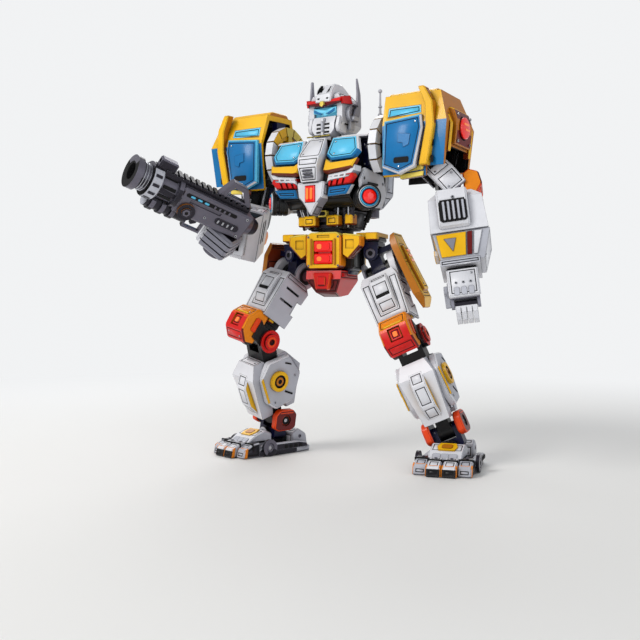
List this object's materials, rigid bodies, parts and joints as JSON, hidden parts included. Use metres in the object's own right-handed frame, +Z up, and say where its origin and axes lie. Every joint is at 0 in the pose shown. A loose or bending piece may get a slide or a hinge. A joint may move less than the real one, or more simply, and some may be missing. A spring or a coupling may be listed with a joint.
{
  "type": "walking humanoid robot toy",
  "caption": "Posed armoured humanoid robot toy with a hand blaster; jointed head, waist, arms and legs, pressable buckle, battery door and switch.",
  "frame": {"origin": "middle of the underside of the whole robot in its stored pose, on the floor", "axes": "+Z up; the pelvis faces -Y; +X is the robot's own left"},
  "size_m": [0.2909, 0.2284, 0.3576],
  "materials": {
    "white_armour": "satin moulded shell",
    "yellow_armour": "satin moulded shell",
    "red_armour": "satin moulded shell",
    "blue_armour": "satin moulded shell",
    "grey_plastic": "matt moulded",
    "dark_frame": "matt structural plastic",
    "gunmetal": "metallic grey plastic",
    "red_lens": "clear-coated lens",
    "visor": "clear-coated lens",
    "cell": "printed sleeve without lettering",
    "board": "solder-masked board"
  },
  "bodies": {
    "pelvis": {"pelvis_frame": "dark_frame", "belt_armour": "yellow_armour", "crotch_guard": "red_armour"},
    "buckle": {"buckle_button": "red_lens"},
    "torso": {"torso_frame": "dark_frame", "battery_cells": "cell", "sound_unit": "board", "back_shell": "white_armour", "chest_red_lenses": "red_lens", "chest_blue_panels": "blue_armour", "chest_yellow_panels": "yellow_armour", "chest_shell": "white_armour", "side_pods": "grey_plastic", "collar_arches": "white_armour"},
    "door": {"battery_door": "grey_plastic"},
    "switch": {"power_switch": "dark_frame"},
    "head": {"neck_post": "dark_frame", "eye_visor": "visor", "brow_band": "red_armour", "face_guard": "grey_plastic", "helmet": "white_armour"},
    "fingers": {"left_fingers": "grey_plastic"},
    "blaster": {"blaster": "gunmetal"},
    "trigger": {"blaster_trigger": "dark_frame"},
    "left_shoulder": {"left_shoulder_hub": "dark_frame", "left_pauldron_trim": "blue_armour", "left_pauldron": "yellow_armour"},
    "right_shoulder": {"right_shoulder_hub": "dark_frame", "right_pauldron_trim": "blue_armour", "right_pauldron": "yellow_armour"},
    "left_yoke": {"left_arm_yoke": "dark_frame"},
    "right_yoke": {"right_arm_yoke": "dark_frame"},
    "left_upper_arm": {"left_upper_arm": "dark_frame"},
    "right_upper_arm": {"right_upper_arm": "dark_frame"},
    "left_forearm": {"left_forearm_frame": "dark_frame", "left_forearm_armour": "white_armour", "left_forearm_trim": "yellow_armour"},
    "right_forearm": {"right_forearm_frame": "dark_frame", "right_forearm_armour": "white_armour", "right_forearm_trim": "yellow_armour"},
    "left_hip_yaw": {"left_hip_yaw_block": "dark_frame"},
    "right_hip_yaw": {"right_hip_yaw_block": "dark_frame"},
    "left_hip_roll": {"left_hip_roll_bracket": "yellow_armour"},
    "right_hip_roll": {"right_hip_roll_bracket": "yellow_armour"},
    "left_thigh": {"left_thigh_frame": "dark_frame", "left_thigh_armour": "white_armour", "left_knee_guard": "red_armour"},
    "right_thigh": {"right_thigh_frame": "dark_frame", "right_thigh_armour": "white_armour", "right_knee_guard": "red_armour"},
    "left_shin": {"left_shin_frame": "dark_frame", "left_shin_armour": "white_armour"},
    "right_shin": {"right_shin_frame": "dark_frame", "right_shin_armour": "white_armour"},
    "left_ankle": {"left_ankle_cross": "red_armour"},
    "right_ankle": {"right_ankle_cross": "red_armour"},
    "left_foot": {"left_foot": "grey_plastic"},
    "right_foot": {"right_foot": "grey_plastic"},
    "left_hand": {"left_hand": "grey_plastic"},
    "right_hand": {"right_hand": "grey_plastic"}
  },
  "joints": [
    {"name": "waist_yaw", "type": "hinge", "parent": "pelvis", "child": "torso", "pos_m": [-0.01173, 0.05796, 0.212], "axis": [0, 0, 1], "range_deg": [-15, 30]},
    {"name": "neck_yaw", "type": "hinge", "parent": "torso", "child": "head", "pos_m": [-0.01256, 0.05404, 0.296], "axis": [0, 0, 1], "range_deg": [-60, 60]},
    {"name": "left_shoulder_pitch", "type": "hinge", "parent": "torso", "child": "left_shoulder", "pos_m": [0.06456, 0.04174, 0.287], "axis": [-0.9781, 0.2079, 0], "range_deg": [-20, 45]},
    {"name": "left_shoulder_roll", "type": "hinge", "parent": "left_shoulder", "child": "left_yoke", "pos_m": [0.06456, 0.04174, 0.287], "axis": [-0.2078, -0.9776, 0.0349], "range_deg": [-14, 8]},
    {"name": "left_arm_twist", "type": "hinge", "parent": "left_yoke", "child": "left_upper_arm", "pos_m": [0.06456, 0.04174, 0.287], "axis": [-0.6986, 0.1733, 0.6942], "range_deg": [-20, 40]},
    {"name": "left_elbow", "type": "hinge", "parent": "left_upper_arm", "child": "left_forearm", "pos_m": [0.10648, 0.03134, 0.24535], "axis": [-0.1257, 0.9254, -0.3575], "range_deg": [-28, 30]},
    {"name": "left_wrist", "type": "hinge", "parent": "left_forearm", "child": "left_hand", "pos_m": [0.1213, 0.00477, 0.17136], "axis": [-0.1853, 0.3321, 0.9249], "range_deg": [-70, 70]},
    {"name": "right_shoulder_pitch", "type": "hinge", "parent": "torso", "child": "right_shoulder", "pos_m": [-0.08803, 0.07417, 0.287], "axis": [-0.9781, 0.2079, 0], "range_deg": [-3, 35]},
    {"name": "right_shoulder_roll", "type": "hinge", "parent": "right_shoulder", "child": "right_yoke", "pos_m": [-0.08803, 0.07417, 0.287], "axis": [0.2078, 0.9776, 0.0349], "range_deg": [0, 18]},
    {"name": "right_arm_twist", "type": "hinge", "parent": "right_yoke", "child": "right_upper_arm", "pos_m": [-0.08803, 0.07417, 0.287], "axis": [-0.279, 0.0934, -0.9557], "range_deg": [0, 30]},
    {"name": "right_elbow", "type": "hinge", "parent": "right_upper_arm", "child": "right_forearm", "pos_m": [-0.10477, 0.07978, 0.22966], "axis": [0.9521, 0.1569, -0.2626], "range_deg": [-4, 35]},
    {"name": "right_wrist", "type": "hinge", "parent": "right_forearm", "child": "right_hand", "pos_m": [-0.09794, 0.00293, 0.2085], "axis": [0.0853, -0.9606, -0.2644], "range_deg": [-20, 20]},
    {"name": "left_finger_curl", "type": "hinge", "parent": "left_hand", "child": "fingers", "pos_m": [0.12792, -0.012, 0.14519], "axis": [0.9746, 0.1825, 0.1297], "range_deg": [-30, 12]},
    {"name": "blaster_swivel", "type": "hinge", "parent": "right_hand", "child": "blaster", "pos_m": [-0.09624, -0.01628, 0.20321], "axis": [-0.6814, 0.1374, -0.7189], "range_deg": [-15, 20]},
    {"name": "blaster_trigger_pull", "type": "slide", "parent": "blaster", "child": "trigger", "axis": [0.502, 0.8025, -0.3225], "range_m": [0, 0.003], "stiffness_N_per_m": 250, "springref_m": -0.001},
    {"name": "left_hip_yaw", "type": "hinge", "parent": "pelvis", "child": "left_hip_yaw", "pos_m": [0.02627, 0.05796, 0.192], "axis": [0, 0, 1], "range_deg": [-4, 18]},
    {"name": "left_hip_roll", "type": "hinge", "parent": "left_hip_yaw", "child": "left_hip_roll", "pos_m": [0.02627, 0.05796, 0.192], "axis": [0.0349, -0.9994, 0], "range_deg": [-10, 8]},
    {"name": "left_hip_pitch", "type": "hinge", "parent": "left_hip_roll", "child": "left_thigh", "pos_m": [0.03358, 0.05821, 0.17556], "axis": [-0.913, -0.0319, -0.4067], "range_deg": [-18, 40]},
    {"name": "left_knee", "type": "hinge", "parent": "left_thigh", "child": "left_shin", "pos_m": [0.06275, 0.04463, 0.11115], "axis": [0.913, 0.0319, 0.4067], "range_deg": [-20, 30]},
    {"name": "left_ankle_pitch", "type": "hinge", "parent": "left_shin", "child": "left_ankle", "pos_m": [0.09842, 0.04847, 0.03079], "axis": [-0.913, -0.0319, -0.4067], "range_deg": [-15, 20]},
    {"name": "left_ankle_roll", "type": "hinge", "parent": "left_ankle", "child": "left_foot", "pos_m": [0.10411, 0.04867, 0.018], "axis": [-0.0349, 0.9994, 0], "range_deg": [-8, 6]},
    {"name": "right_hip_yaw", "type": "hinge", "parent": "pelvis", "child": "right_hip_yaw", "pos_m": [-0.04973, 0.05796, 0.192], "axis": [0, 0, -1], "range_deg": [-10, 10]},
    {"name": "right_hip_roll", "type": "hinge", "parent": "right_hip_yaw", "child": "right_hip_roll", "pos_m": [-0.04973, 0.05796, 0.192], "axis": [0.4695, 0.8829, 0], "range_deg": [-4, 12]},
    {"name": "right_hip_pitch", "type": "hinge", "parent": "right_hip_roll", "child": "right_thigh", "pos_m": [-0.05276, 0.05957, 0.17433], "axis": [-0.8667, 0.4608, 0.1908], "range_deg": [-20, 25]},
    {"name": "right_knee", "type": "hinge", "parent": "right_thigh", "child": "right_shin", "pos_m": [-0.0801, 0.03354, 0.11302], "axis": [0.8667, -0.4608, -0.1908], "range_deg": [-35, 25]},
    {"name": "right_ankle_pitch", "type": "hinge", "parent": "right_shin", "child": "right_ankle", "pos_m": [-0.08005, 0.06728, 0.03174], "axis": [-0.8667, 0.4608, 0.1908], "range_deg": [-15, 20]},
    {"name": "right_ankle_roll", "type": "hinge", "parent": "right_ankle", "child": "right_foot", "pos_m": [-0.08241, 0.06854, 0.018], "axis": [-0.4695, -0.8829, 0], "range_deg": [-8, 12]},
    {"name": "battery_door_hinge", "type": "hinge", "parent": "torso", "child": "door", "pos_m": [-0.00414, 0.09366, 0.2448], "axis": [-0.9781, 0.2079, 0], "range_deg": [0, 75]},
    {"name": "power_switch_slide", "type": "slide", "parent": "torso", "child": "switch", "axis": [0.9781, -0.2079, 0], "range_m": [0, 0.01]},
    {"name": "buckle_press", "type": "slide", "parent": "pelvis", "child": "buckle", "axis": [0, 1, 0], "range_m": [0, 0.002], "stiffness_N_per_m": 400, "springref_m": -0.001}
  ]
}
